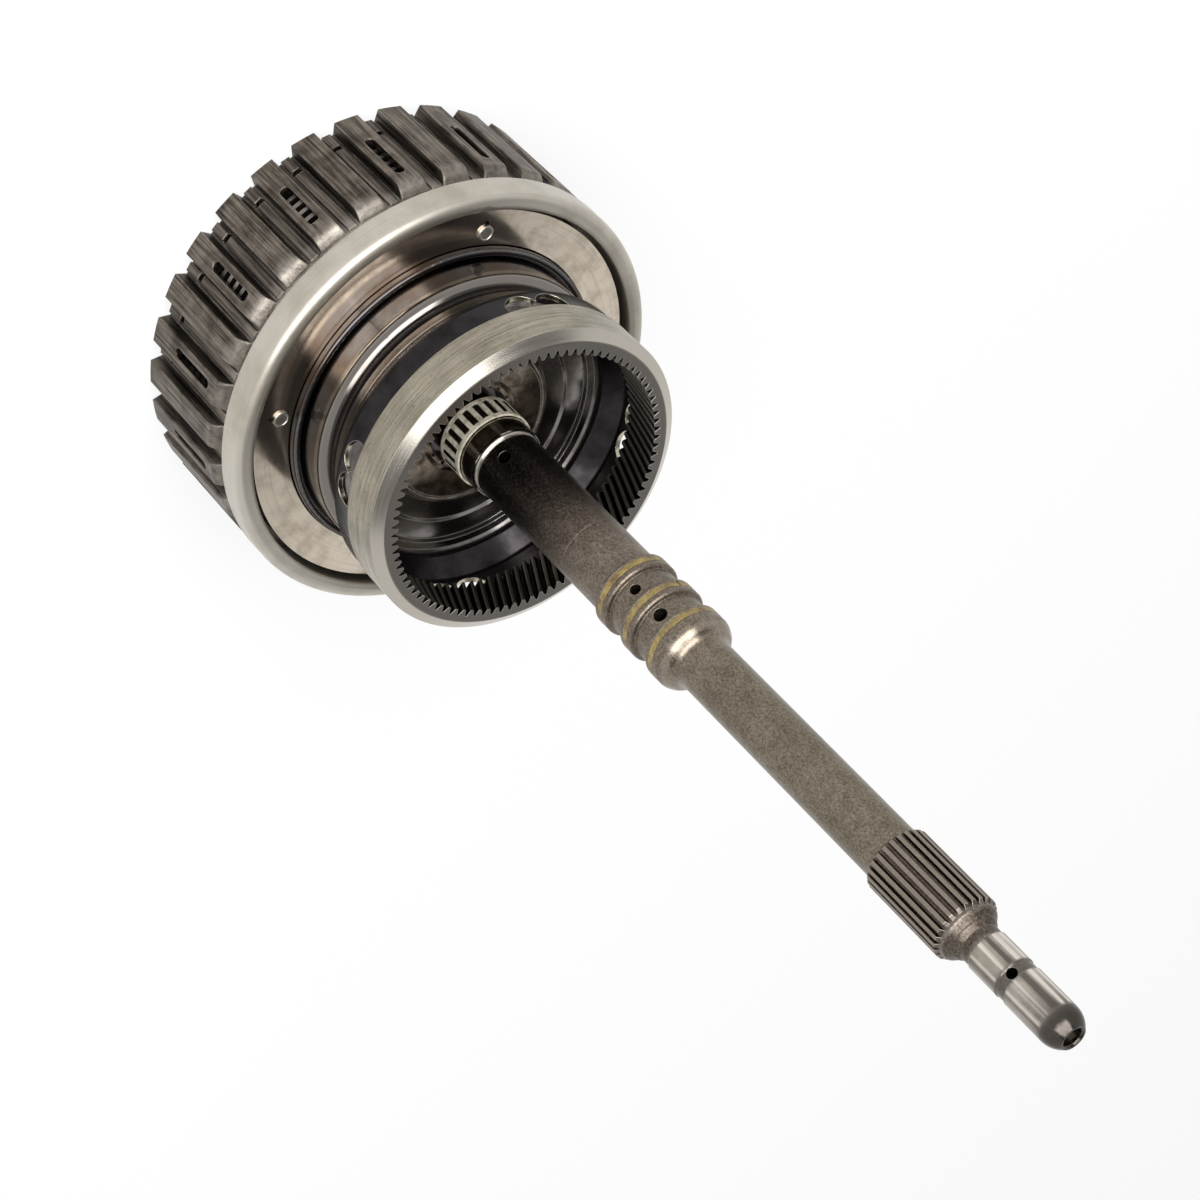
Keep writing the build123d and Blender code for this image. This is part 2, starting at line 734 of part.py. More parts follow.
# Plates of the clutch pack, friction plate with its linings and steel plate in turn
for k in range(plate_count):
    foot = friction_foot + k * plate_pitch
    with BuildPart() as friction_plate:
        with BuildSketch(Plane.XY.offset(foot + lining_thickness)):
            Circle(core_radius)
            Circle(core_bore, mode=Mode.SUBTRACT)
            with PolarLocations(0, tooth_count):
                Polygon(
                    (core_bore + 0.5, -3.6),
                    (tooth_tip_bore, -2.0),
                    (tooth_tip_bore, 2.0),
                    (core_bore + 0.5, 3.6),
                    align=None,
                )
        extrude(amount=core_thickness)
    save(friction_plate, "friction_plate_" + str(k + 1))
    with BuildPart() as friction_lining:
        for side in (foot, foot + lining_thickness + core_thickness):
            with BuildSketch(Plane.XY.offset(side)):
                Circle(lining_radius)
                Circle(lining_bore, mode=Mode.SUBTRACT)
            extrude(amount=lining_thickness)
    save(friction_lining, "friction_lining_" + str(k + 1))
    with BuildPart() as steel_plate:
        with BuildSketch(Plane.XY.offset(foot + friction_thickness + pair_gap)):
            Circle(steel_radius)
            with PolarLocations(0, tab_count, start_angle=tab_phase):
                with Locations((steel_radius - 1, 0)):
                    Rectangle(tab_radius - steel_radius + 1, tab_width, align=(Align.MIN, Align.CENTER))
            Circle(steel_bore, mode=Mode.SUBTRACT)
        extrude(amount=steel_thickness)
    save(steel_plate, "steel_plate_" + str(k + 1))
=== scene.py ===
import math

import bmesh
import bpy
from mathutils import Matrix, Vector


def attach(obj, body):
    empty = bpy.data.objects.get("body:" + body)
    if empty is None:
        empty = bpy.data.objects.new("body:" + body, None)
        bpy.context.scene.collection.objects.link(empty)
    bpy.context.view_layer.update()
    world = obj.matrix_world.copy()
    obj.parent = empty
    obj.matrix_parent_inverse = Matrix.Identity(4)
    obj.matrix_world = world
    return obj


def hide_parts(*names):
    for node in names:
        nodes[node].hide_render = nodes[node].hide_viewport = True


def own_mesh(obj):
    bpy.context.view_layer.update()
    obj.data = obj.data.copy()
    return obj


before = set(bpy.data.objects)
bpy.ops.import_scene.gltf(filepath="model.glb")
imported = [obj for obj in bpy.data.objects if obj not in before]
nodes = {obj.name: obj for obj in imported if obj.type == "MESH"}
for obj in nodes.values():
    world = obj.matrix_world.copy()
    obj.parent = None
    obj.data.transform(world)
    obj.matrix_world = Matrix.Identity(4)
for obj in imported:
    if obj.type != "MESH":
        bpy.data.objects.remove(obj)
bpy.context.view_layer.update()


# Input shaft: one forged and turned bar of alloy steel, hardened, then ground where the
# bearing and the bushes run on it. The ground parts are bright, the rest keeps its dark
# phosphate skin, and beside the needle bearing it is painted darker as shade, lightening
# along the shaft.

def linear(code):
    """An sRGB hex value as the linear colour that Blender's sockets take."""
    parts = [int(code[i:i + 2], 16) / 255 for i in (1, 3, 5)]
    return [p / 12.92 if p <= 0.04045 else ((p + 0.055) / 1.055) ** 2.4 for p in parts] + [1.0]


def connect(tree, node, inputs):
    """Gives a node's inputs, by name or in order, a value, a hex colour or another node's output."""
    for name, value in inputs.items() if isinstance(inputs, dict) else enumerate(inputs):
        if isinstance(value, bpy.types.NodeSocket):
            tree.links.new(value, node.inputs[name])
        else:
            node.inputs[name].default_value = linear(value) if isinstance(value, str) else value


def add(tree, kind, inputs=(), stops=None, out=0, **settings):
    """Adds one node with its settings and links, and returns one of its outputs."""
    made = tree.nodes.new(kind)
    for name, value in settings.items():
        setattr(made, name, value)
    connect(tree, made, inputs)
    if stops:
        ends = made.color_ramp.elements
        ends[0].position, ends[0].color = stops[0][0], linear(stops[0][1])
        ends[-1].position, ends[-1].color = stops[-1][0], linear(stops[-1][1])
        for spot, colour in stops[1:-1]:
            ends.new(spot).color = linear(colour)
    return made.outputs[out] if len(made.outputs) else made


def start_finish(name, metallic, roughness):
    """Starts a material and returns it with its node tree and its Principled shader."""
    material = bpy.data.materials.new(name)
    material.use_nodes = True
    tree = material.node_tree
    shader = next(n for n in tree.nodes if n.type == "BSDF_PRINCIPLED")
    connect(tree, shader, {"Metallic": metallic, "Roughness": roughness})
    return material, tree, shader


def round_shaft(tree):
    """A point's place, its height along the shaft, its distance from it, and its direction round it."""
    place = add(tree, "ShaderNodeTexCoord", out="Object")
    height = add(tree, "ShaderNodeSeparateXYZ", [place], out="Z")
    flat = add(tree, "ShaderNodeVectorMath", [place, (1, 1, 0)], operation="MULTIPLY")
    radius = add(tree, "ShaderNodeVectorMath", [flat], out="Value", operation="LENGTH")
    facing = add(tree, "ShaderNodeVectorMath", [flat], operation="NORMALIZE")
    return place, height, radius, facing


def turning_marks(tree, height, radius, facing, pitch, length=1.6):
    """Fine rings that a lathe or a grinding wheel leaves, a pitch apart, which fade in and out."""
    rings = add(tree, "ShaderNodeCombineXYZ", [height, radius])
    rings = add(tree, "ShaderNodeVectorMath", [rings, (1 / pitch, 1 / pitch, 0)], operation="MULTIPLY")
    turn = add(tree, "ShaderNodeVectorMath", [facing, (length, length, 0)], operation="MULTIPLY")
    turn = add(tree, "ShaderNodeSeparateXYZ", [turn]).node.outputs
    lift = add(tree, "ShaderNodeCombineXYZ", {"Z": turn["X"]})
    spread = add(tree, "ShaderNodeVectorMath", [rings, lift], operation="ADD")
    return add(tree, "ShaderNodeTexNoise", {"Vector": spread, "W": turn["Y"], "Scale": 1.0, "Detail": 3},
               noise_dimensions="4D")


def between(tree, value, low, high, soft):
    """One where a value lies between low and high, and nothing outside, with soft ends."""
    rise = add(tree, "ShaderNodeMapRange", [value, low - soft, low, 0.0, 1.0])
    fall = add(tree, "ShaderNodeMapRange", [value, high, high + soft, 1.0, 0.0])
    return add(tree, "ShaderNodeMath", [rise, fall], operation="MULTIPLY")


def lay_over(tree, base, colour, pattern, low=0.0, high=1.0, most=1.0, mode="MIX"):
    """A base with a colour laid over it: none where the pattern is low, and the most where it is high."""
    share = add(tree, "ShaderNodeMapRange", [pattern, low, high, 0.0, most])
    mix = {0: share, 6: base, 7: colour}
    return add(tree, "ShaderNodeMix", mix, out=2, data_type="RGBA", blend_type=mode)


def rounded_edges(tree, radius):
    """Normals that run softly round every edge, and a share that is one on the edges and nothing off them."""
    soft = add(tree, "ShaderNodeBevel", {"Radius": radius}, samples=6)
    hard = add(tree, "ShaderNodeNewGeometry", out="True Normal")
    agree = add(tree, "ShaderNodeVectorMath", [soft, hard], out="Value", operation="DOT_PRODUCT")
    return soft, add(tree, "ShaderNodeMapRange", [agree, 0.985, 0.86, 0.0, 1.0])


def put_on(material, *pieces):
    """Puts the material on CAD nodes or on the scene's own pieces."""
    for piece in pieces:
        if not piece.material_slots:
            piece.data.materials.append(material)
        for slot in piece.material_slots:
            slot.material = material


# Alloy steel, phosphated: a fine speckled grey brown skin, matte. Ground: clean and bright,
# with faint rings. The zones follow the shaft from foot to nose, as shares of its height.
shaft_steel, tree, shader = start_finish("phosphated_and_ground_alloy_steel", 1.0, 0.42)
place, height, radius, facing = round_shaft(tree)
nose_height = 0.402
along = add(tree, "ShaderNodeMath", [height, nose_height], operation="DIVIDE")
# From 0.2542 to about 0.37 of the height the skin is painted dark as shade beside the needle bearing,
# lightening upwards
skin = add(tree, "ShaderNodeValToRGB", [along], stops=[
    (0.0000, "#6b6560"), (0.2290, "#cfc9bf"), (0.2306, "#8f877b"), (0.2475, "#8a8074"), (0.2482, "#e0d9cd"),
    (0.2532, "#d6cfc2"), (0.2542, "#4b4544"), (0.2850, "#4e4746"), (0.3200, "#5d544f"), (0.3700, "#776c62"),
    (0.4150, "#887d71"), (0.5280, "#8b8073"), (0.5300, "#a2978a"), (0.5440, "#8f8475"), (0.5700, "#857b6c"),
    (0.7890, "#857b6c"), (0.7940, "#6d6157"), (0.8775, "#6d6157"), (0.8785, "#a79e93"), (0.8805, "#a79e93"),
    (0.8815, "#665d55"), (0.9015, "#6b625a"), (0.9026, "#aca59b"), (0.9310, "#a69f95"), (0.9325, "#6f6963"),
    (0.9425, "#6f6963"), (0.9435, "#aea79d"), (0.9790, "#8f8881"), (0.9850, "#55504c")])
gloss = add(tree, "ShaderNodeValToRGB", [along], stops=[
    (0.2290, "#5a5a5a"), (0.2475, "#575757"), (0.2535, "#6c6c6c"), (0.2545, "#9b9b9b"), (0.3200, "#a4a4a4"),
    (0.4000, "#a8a8a8"), (0.5280, "#a8a8a8"), (0.5305, "#848484"), (0.5460, "#989898"), (0.5600, "#989898"),
    (0.7890, "#989898"), (0.8740, "#9c9c9c"), (0.8785, "#808080"), (0.8815, "#aaaaaa"), (0.9015, "#a8a8a8"),
    (0.9026, "#5c5c5c"), (0.9310, "#5c5c5c"), (0.9320, "#848484"), (0.9425, "#848484"), (0.9435, "#585858"),
    (1.0000, "#6c6c6c")])
# Specks of 0.8 mm, as coarse as they need to show, in spots of 4.5 mm and clouds of 22 mm
speck = add(tree, "ShaderNodeTexNoise", {"Vector": place, "Scale": 1 / 0.0008, "Detail": 4, "Roughness": 0.6})
spots = add(tree, "ShaderNodeTexNoise", {"Vector": place, "Scale": 1 / 0.0045, "Detail": 6, "Roughness": 0.6})
cloud = add(tree, "ShaderNodeTexNoise", {"Vector": place, "Scale": 1 / 0.022, "Detail": 3, "Roughness": 0.6})
dark = add(tree, "ShaderNodeMapRange", [speck, 0.56, 0.38, 0.0, 1.0])
matte = add(tree, "ShaderNodeMapRange", [gloss, 0.14, 0.32, 0.0, 0.5])
dark = add(tree, "ShaderNodeMath", [dark, matte], operation="MULTIPLY")
skin = lay_over(tree, skin, "#2c2621", dark)
light = add(tree, "ShaderNodeMapRange", [speck, 0.54, 0.68, 0.0, 1.0])
matte = add(tree, "ShaderNodeMapRange", [gloss, 0.24, 0.34, 0.0, 0.35])
light = add(tree, "ShaderNodeMath", [light, matte], operation="MULTIPLY")
skin = lay_over(tree, skin, "#a59a88", light)
skin = lay_over(tree, skin, "#76644f", spots, 0.42, 0.72, 0.35, "MULTIPLY")
skin = lay_over(tree, skin, "#7f7868", cloud, 0.4, 0.65, 0.2, "MULTIPLY")
# Lengthwise dark and bright bands on the bright nose, a painted reflection
lengthwise = add(tree, "ShaderNodeVectorMath", [place, (1, 1, 0.02)], operation="MULTIPLY")
lengthwise = add(tree, "ShaderNodeTexNoise", {"Vector": lengthwise, "Scale": 1 / 0.0042, "Detail": 2, "Roughness": 0.6})
below_groove = between(tree, height, 0.3630, 0.3740, 0.0008)
above_groove = between(tree, height, 0.3797, 0.3940, 0.0012)
on_nose = add(tree, "ShaderNodeMath", [below_groove, above_groove], operation="ADD")
darkening = add(tree, "ShaderNodeMapRange", [lengthwise, 0.50, 0.60, 0.0, 0.85])
darkening = add(tree, "ShaderNodeMath", [on_nose, darkening], operation="MULTIPLY")
skin = lay_over(tree, skin, "#544e49", darkening)
painted_bright_band = add(tree, "ShaderNodeMapRange", [lengthwise, 0.46, 0.38, 0.0, 0.9])
painted_bright_band = add(tree, "ShaderNodeMath", [on_nose, painted_bright_band], operation="MULTIPLY")
skin = lay_over(tree, skin, "#dcd6cc", painted_bright_band)
# The spline teeth are worn clean on top by the hub that slides on them, and painted dark between them as
# shade on their flanks
on_spline = between(tree, height, 0.3188, 0.3535, 0.0006)
painted_shade_on_flanks = add(tree, "ShaderNodeMapRange", [radius, 0.01140, 0.01080, 0.0, 0.45])
painted_shade_on_flanks = add(tree, "ShaderNodeMath", [on_spline, painted_shade_on_flanks], operation="MULTIPLY")
skin = lay_over(tree, skin, "#2f2823", painted_shade_on_flanks)
tops = add(tree, "ShaderNodeMapRange", [radius, 0.01150, 0.01168, 0.0, 0.5])
tops = add(tree, "ShaderNodeMath", [on_spline, tops], operation="MULTIPLY")
skin = lay_over(tree, skin, "#a0968a", tops)
soft, edge = rounded_edges(tree, 0.0004)
# Edges are lighter, for wear and as a painted highlight
skin = lay_over(tree, skin, "#bdb4a7", edge, most=0.35)
rough = add(tree, "ShaderNodeMapRange", [speck, 0.3, 0.7, -0.04, 0.08])
rough = add(tree, "ShaderNodeMath", [gloss, rough], operation="ADD")
rings = turning_marks(tree, height, radius, facing, 0.00035)
rings = add(tree, "ShaderNodeMath", [rings, 0.4], operation="MULTIPLY")
grain = add(tree, "ShaderNodeMath", [speck, gloss], operation="MULTIPLY")
grain = add(tree, "ShaderNodeMath", [rings, grain], operation="ADD")
bump = add(tree, "ShaderNodeBump", {"Height": grain, "Distance": 0.00012, "Strength": 0.6, "Normal": soft})
connect(tree, shader, {"Base Color": skin, "Roughness": rough, "Normal": bump})
put_on(shaft_steel, nodes["input_shaft"])

# Snap rings and nose plug: hardened spring steel and a pressed steel cup, tempered dark
# with a faint mottle.
spring_steel, tree, shader = start_finish("tempered_spring_steel", 1.0, 0.32)
place = add(tree, "ShaderNodeTexCoord", out="Object")
tint = add(tree, "ShaderNodeTexNoise", {"Vector": place, "Scale": 1 / 0.003, "Detail": 4, "Roughness": 0.6})
fine = add(tree, "ShaderNodeTexNoise", {"Vector": place, "Scale": 1 / 0.0012, "Detail": 4, "Roughness": 0.6})
rough = add(tree, "ShaderNodeMapRange", [fine, 0.3, 0.7, 0.25, 0.45])
connect(tree, shader, {"Base Color": lay_over(tree, "#55504d", "#8b857e", tint), "Roughness": rough})
put_on(spring_steel, nodes["shaft_snap_ring"], nodes["nose_plug"], nodes["retainer_snap_ring"],
       nodes["pack_snap_ring"])

# Pilot bushing: a split bush of sintered bronze, pressed into the foot of the shaft and reamed,
# which leaves faint rings.
bronze, tree, shader = start_finish("sintered_bronze", 1.0, 0.38)
place, height, radius, facing = round_shaft(tree)
grain = add(tree, "ShaderNodeTexNoise", {"Vector": place, "Scale": 1 / 0.0009, "Detail": 4, "Roughness": 0.6})
rings = turning_marks(tree, height, radius, facing, 0.0003)
bump = add(tree, "ShaderNodeBump", {"Height": rings, "Distance": 0.00003, "Strength": 1.0})
connect(tree, shader, {"Base Color": lay_over(tree, "#8a6a3c", "#c39a5e", grain), "Normal": bump})
put_on(bronze, nodes["pilot_bushing"])


# Seal rings: three moulded resin rings with a butt joint, sprung into their grooves. The
# resin is amber and stained brown where hot oil has passed, and painted dark along its edges
# as the shade of the grooves.

resin, tree, shader = start_finish("moulded_amber_seal_resin", 0.0, 0.45)
place = add(tree, "ShaderNodeTexCoord", out="Object")
oil = add(tree, "ShaderNodeTexNoise", {"Vector": place, "Scale": 1 / 0.005, "Detail": 4, "Roughness": 0.6})
rubs = add(tree, "ShaderNodeTexNoise", {"Vector": place, "Scale": 1 / 0.0012, "Detail": 4, "Roughness": 0.6})
pits = add(tree, "ShaderNodeTexNoise", {"Vector": place, "Scale": 1 / 0.0007, "Detail": 4, "Roughness": 0.6})
amber = lay_over(tree, "#85743f", "#5b482c", oil, 0.4, 0.62)
amber = lay_over(tree, amber, "#a39058", rubs, 0.5, 0.7, 0.5)
soft, edge = rounded_edges(tree, 0.0003)
# The edges are painted dark as the shade of the grooves they sit in
amber = lay_over(tree, amber, "#3a2e1e", edge, most=0.8)
bump = add(tree, "ShaderNodeBump", {"Height": pits, "Distance": 0.00004, "Strength": 1.0, "Normal": soft})
connect(tree, shader, {"Base Color": amber, "Normal": bump})
put_on(resin, nodes["seal_ring_1"], nodes["seal_ring_2"], nodes["seal_ring_3"])


# Needle bearing: a pressed steel cage, plated pale, that holds twenty-two hardened and
# polished needles on the ground race at the foot of the shaft.

# Steel sheet with a thin pale plating: more like a dull coat than bare metal, and a little uneven
cage_steel, tree, shader = start_finish("plated_cage_steel", 0.25, 0.42)
place = add(tree, "ShaderNodeTexCoord", out="Object")
darkening = add(tree, "ShaderNodeTexNoise", {"Vector": place, "Scale": 1 / 0.0022, "Detail": 4, "Roughness": 0.6})
pits = add(tree, "ShaderNodeTexNoise", {"Vector": place, "Scale": 1 / 0.0006, "Detail": 4, "Roughness": 0.6})
plating = lay_over(tree, "#d9d3c1", "#9d9480", darkening, 0.45, 0.7)
soft, edge = rounded_edges(tree, 0.0002)
bump = add(tree, "ShaderNodeBump", {"Height": pits, "Distance": 0.00004, "Strength": 1.0, "Normal": soft})
connect(tree, shader, {"Base Color": plating, "Normal": bump})
put_on(cage_steel, nodes["needle_cage"])

# Bearing steel, lapped: nearly a mirror, and dark
needle_steel, tree, shader = start_finish("polished_bearing_steel", 1.0, 0.16)
place = add(tree, "ShaderNodeTexCoord", out="Object")
oil = add(tree, "ShaderNodeTexNoise", {"Vector": place, "Scale": 1 / 0.002, "Detail": 4, "Roughness": 0.6})
fine = add(tree, "ShaderNodeTexNoise", {"Vector": place, "Scale": 1 / 0.0008, "Detail": 4, "Roughness": 0.6})
rough = add(tree, "ShaderNodeMapRange", [fine, 0.3, 0.7, 0.12, 0.24])
connect(tree, shader, {"Base Color": lay_over(tree, "#2f2c2a", "#57524d", oil), "Roughness": rough})


def turned_row(name, material, body, profile, sizes):
    """Turned pieces in a ring round the shaft. The profile holds (radius, height) pairs from foot to top."""
    tree = bpy.data.node_groups.new(name + "_tree", "GeometryNodeTree")
    face = tree.interface
    face.new_socket("Geometry", in_out="INPUT", socket_type="NodeSocketGeometry")
    for label, kind in (("Count", "NodeSocketInt"), ("Circle", "NodeSocketFloat"),
                        ("Phase", "NodeSocketFloat"), ("Foot", "NodeSocketFloat"),
                        ("Sides", "NodeSocketInt")):
        face.new_socket(label, in_out="INPUT", socket_type=kind)
    face.new_socket("Geometry", in_out="OUTPUT", socket_type="NodeSocketGeometry")
    given = add(tree, "NodeGroupInput").node.outputs
    joined = add(tree, "GeometryNodeJoinGeometry")
    for (low, foot), (high, top) in zip(profile, profile[1:]):
        part = add(tree, "GeometryNodeMeshCone", {
            "Vertices": given["Sides"], "Radius Top": high, "Radius Bottom": low, "Depth": abs(top - foot)},
            fill_type="NONE")
        # A step that goes down is a cone turned over, and a flat one has no height
        if top < foot:
            part = add(tree, "GeometryNodeTransform", {"Geometry": part, "Scale": (1, 1, -1)})
            part = add(tree, "GeometryNodeFlipFaces", {"Mesh": part})
        part = add(tree, "GeometryNodeTransform", {"Geometry": part, "Translation": (0, 0, foot)})
        tree.links.new(part, joined.node.inputs[0])
    merged = add(tree, "GeometryNodeMergeByDistance", {"Geometry": joined, "Distance": 0.000002})
    ring = add(tree, "GeometryNodeMeshCircle", {"Vertices": given["Count"], "Radius": given["Circle"]})
    turn = add(tree, "ShaderNodeCombineXYZ", {"Z": given["Phase"]})
    lift = add(tree, "ShaderNodeCombineXYZ", {"Z": given["Foot"]})
    ring = add(tree, "GeometryNodeTransform", {"Geometry": ring, "Rotation": turn, "Translation": lift})
    spots = add(tree, "GeometryNodeMeshToPoints", {"Mesh": ring})
    row = add(tree, "GeometryNodeInstanceOnPoints", {"Points": spots, "Instance": merged})
    row = add(tree, "GeometryNodeRealizeInstances", {"Geometry": row})
    row = add(tree, "GeometryNodeSetMaterial", {"Geometry": row, "Material": material})
    add(tree, "NodeGroupOutput", {"Geometry": row})
    host = bpy.data.objects.new(name + "_host", bpy.data.meshes.new(name + "_host"))
    bpy.context.scene.collection.objects.link(host)
    modifier = host.modifiers.new("row", "NODES")
    modifier.node_group = tree
    for item in face.items_tree:
        if item.in_out == "INPUT" and item.name in sizes:
            modifier[item.identifier] = sizes[item.name]
    host.update_tag()
    settled = host.evaluated_get(bpy.context.evaluated_depsgraph_get())
    mesh = bpy.data.meshes.new_from_object(settled)
    mesh.name = name
    bpy.data.objects.remove(host)
    piece = bpy.data.objects.new(name, mesh)
    bpy.context.scene.collection.objects.link(piece)
    put_on(material, piece)
    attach(piece, body)
    return piece


# Needles 7.6 mm long and 2.3 mm thick, with rounded ends
needles = turned_row("bearing_needles", needle_steel, "needle_bearing",
                     [(0.0, 0.0), (0.0006, 0.00003), (0.00098, 0.00018), (0.00115, 0.00045),
                      (0.00115, 0.00715), (0.00098, 0.00742), (0.0006, 0.00757), (0.0, 0.0076)],
                     {"Count": 22, "Circle": 0.0137, "Phase": math.radians(9.2), "Foot": 0.083, "Sides": 24})
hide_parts("needle_rollers")


# Clutch drum: a cup drawn from steel sheet, its thirty lands rolled in to carry the plate
# teeth. It is dark with oil and heat, and painted darker still as shade in the valleys and on
# the sides of the lands; the lands are rubbed lighter along their tops, and the rolled corners
# at their front ends carry a painted highlight.

drum_steel, tree, shader = start_finish("drawn_and_oiled_sheet_steel", 1.0, 0.42)
place, height, radius, facing = round_shaft(tree)
lengthwise = add(tree, "ShaderNodeVectorMath", [place, (1, 1, 0.04)], operation="MULTIPLY")
streak = add(tree, "ShaderNodeTexNoise", {"Vector": lengthwise, "Scale": 1 / 0.001, "Detail": 6, "Roughness": 0.6})
grime = add(tree, "ShaderNodeTexNoise", {"Vector": place, "Scale": 1 / 0.008, "Detail": 6, "Roughness": 0.6})
# Tops of the lands, floors of the valleys, and the ribs on those floors. Below the tops, the
# valley floors and the sides of the lands are painted dark as shade
top = lay_over(tree, "#443d37", "#857c71", streak, 0.38, 0.62)
top = lay_over(tree, top, "#6a5c50", grime, 0.42, 0.66, 0.6, "MULTIPLY")
shaded_valley = lay_over(tree, "#252120", "#6d665e", streak, 0.42, 0.68)
rib = lay_over(tree, "#453f3a", "#80776d", streak, 0.4, 0.65)
shaded_valley = lay_over(tree, shaded_valley, rib, between(tree, radius, 0.0787, 0.0791, 0.0003))
base = lay_over(tree, shaded_valley, top, radius, 0.0805, 0.0822)
soft, edge = rounded_edges(tree, 0.0011)
# Edges are lighter, partly for wear and partly as a painted highlight
wear_and_highlight_edges = add(tree, "ShaderNodeMapRange", [grime, 0.35, 0.6, 0.6, 0.1])
wear_and_highlight_edges = add(tree, "ShaderNodeMath", [edge, wear_and_highlight_edges], operation="MULTIPLY")
base = lay_over(tree, base, "#a69d91", wear_and_highlight_edges)
# The rolled corners at the front ends of the lands are painted light as a highlight, and made a little
# smoother
front = add(tree, "ShaderNodeMapRange", [height, 0.0385, 0.0435, 0.0, 1.0])
painted_front_highlight = add(tree, "ShaderNodeMapRange", [grime, 0.35, 0.65, 0.8, 0.3])
painted_front_highlight = add(tree, "ShaderNodeMath", [front, painted_front_highlight], operation="MULTIPLY")
base = lay_over(tree, base, "#9a938a", painted_front_highlight)
rough = add(tree, "ShaderNodeMapRange", [painted_front_highlight, 0.0, 1.0, 0.44, 0.34])
relief = add(tree, "ShaderNodeMath", [streak, grime], operation="ADD")
bump = add(tree, "ShaderNodeBump", {"Height": relief, "Distance": 0.00012, "Strength": 0.6, "Normal": soft})
connect(tree, shader, {"Base Color": base, "Roughness": rough, "Normal": bump})
put_on(drum_steel, nodes["clutch_drum"])


# Rim ring: a steel ring turned all over and pressed on the front of the drum, satin with
# faint lathe rings and a thin film of old oil.

satin_steel, tree, shader = start_finish("turned_satin_steel", 1.0, 0.3)
place, height, radius, facing = round_shaft(tree)
rings = turning_marks(tree, height, radius, facing, 0.0005)
film = add(tree, "ShaderNodeTexNoise", {"Vector": place, "Scale": 1 / 0.02, "Detail": 3, "Roughness": 0.6})
base = lay_over(tree, "#c6c0b5", "#a09889", film, 0.42, 0.68, 0.55)
base = lay_over(tree, base, "#8f8a82", rings, 0.4, 0.7, 0.2)
soft, edge = rounded_edges(tree, 0.0006)
# Edges are lighter, for wear and as a painted highlight
base = lay_over(tree, base, "#dfdad1", edge, most=0.5)
rough = add(tree, "ShaderNodeMapRange", [film, 0.42, 0.68, 0.38, 0.46])
bump = add(tree, "ShaderNodeBump", {"Height": rings, "Distance": 0.00002, "Strength": 0.4, "Normal": soft})
connect(tree, shader, {"Base Color": base, "Roughness": rough, "Normal": bump})
put_on(satin_steel, nodes["rim_ring"])


# Drum head: the forged hub of the drum, turned to a stepped cup and polished, with a little
# brown oil film baked on.

head_steel, tree, shader = start_finish("turned_and_polished_hub_steel", 1.0, 0.17)
place, height, radius, facing = round_shaft(tree)
rings = turning_marks(tree, height, radius, facing, 0.0008)
film = add(tree, "ShaderNodeTexNoise", {"Vector": place, "Scale": 1 / 0.016, "Detail": 3, "Roughness": 0.6})
base = lay_over(tree, "#575556", "#56483e", film, 0.45, 0.7, 0.8)
base = lay_over(tree, base, "#3b3735", rings, 0.4, 0.75, 0.25)
# The rolled shoulder under the gear dish is painted lighter as a highlight
painted_shoulder_highlight = add(tree, "ShaderNodeMapRange", [radius, 0.0515, 0.0535, 0.0, 0.65])
painted_shoulder_highlight = add(tree, "ShaderNodeMath", [between(tree, height, 0.0690, 0.0738, 0.0008), painted_shoulder_highlight],
               operation="MULTIPLY")
base = lay_over(tree, base, "#8d8781", painted_shoulder_highlight)
soft, edge = rounded_edges(tree, 0.0005)
# Edges are lighter, for wear and as a painted highlight
base = lay_over(tree, base, "#b5aea5", edge, most=0.45)
rough = add(tree, "ShaderNodeMapRange", [film, 0.45, 0.7, 0.11, 0.22])
bump = add(tree, "ShaderNodeBump", {"Height": rings, "Distance": 0.00002, "Strength": 0.35, "Normal": soft})
connect(tree, shader, {"Base Color": base, "Roughness": rough, "Normal": bump})
put_on(head_steel, nodes["drum_head"])


# Cover plate: an annular washer of steel sheet, polished and lightly scuffed, held by four
# cold-headed rivets whose rims are lighter, for wear and as a painted highlight.

plate_steel, tree, shader = start_finish("polished_steel_sheet", 1.0, 0.2)
place, height, radius, facing = round_shaft(tree)
scuffs = add(tree, "ShaderNodeTexNoise", {"Vector": place, "Scale": 1 / 0.007, "Detail": 5, "Roughness": 0.6})
base = lay_over(tree, "#d8ccbb", "#c2b6a5", scuffs, 0.42, 0.66)
rubs = turning_marks(tree, height, radius, facing, 0.0009, 3.0)
base = lay_over(tree, base, "#94897c", rubs, 0.5, 0.75, 0.3)
rough = add(tree, "ShaderNodeMapRange", [scuffs, 0.3, 0.7, 0.09, 0.16])
bump = add(tree, "ShaderNodeBump", {"Height": rubs, "Distance": 0.00001, "Strength": 0.3})
connect(tree, shader, {"Base Color": base, "Roughness": rough, "Normal": bump})
put_on(plate_steel, nodes["cover_plate"])

rivet_steel, tree, shader = start_finish("cold_headed_rivet_steel", 1.0, 0.34)
place = add(tree, "ShaderNodeTexCoord", out="Object")
tint = add(tree, "ShaderNodeTexNoise", {"Vector": place, "Scale": 1 / 0.0012, "Detail": 4, "Roughness": 0.6})
dents = add(tree, "ShaderNodeTexNoise", {"Vector": place, "Scale": 1 / 0.0008, "Detail": 4, "Roughness": 0.6})
soft, edge = rounded_edges(tree, 0.0002)
# Rivet edges are lighter, for wear and as a painted highlight
base = lay_over(tree, lay_over(tree, "#8f8a84", "#cbc5bb", tint), "#e6e1d8", edge, most=0.25)
bump = add(tree, "ShaderNodeBump", {"Height": dents, "Distance": 0.00005, "Strength": 1.0, "Normal": soft})
connect(tree, shader, {"Base Color": base, "Normal": bump})
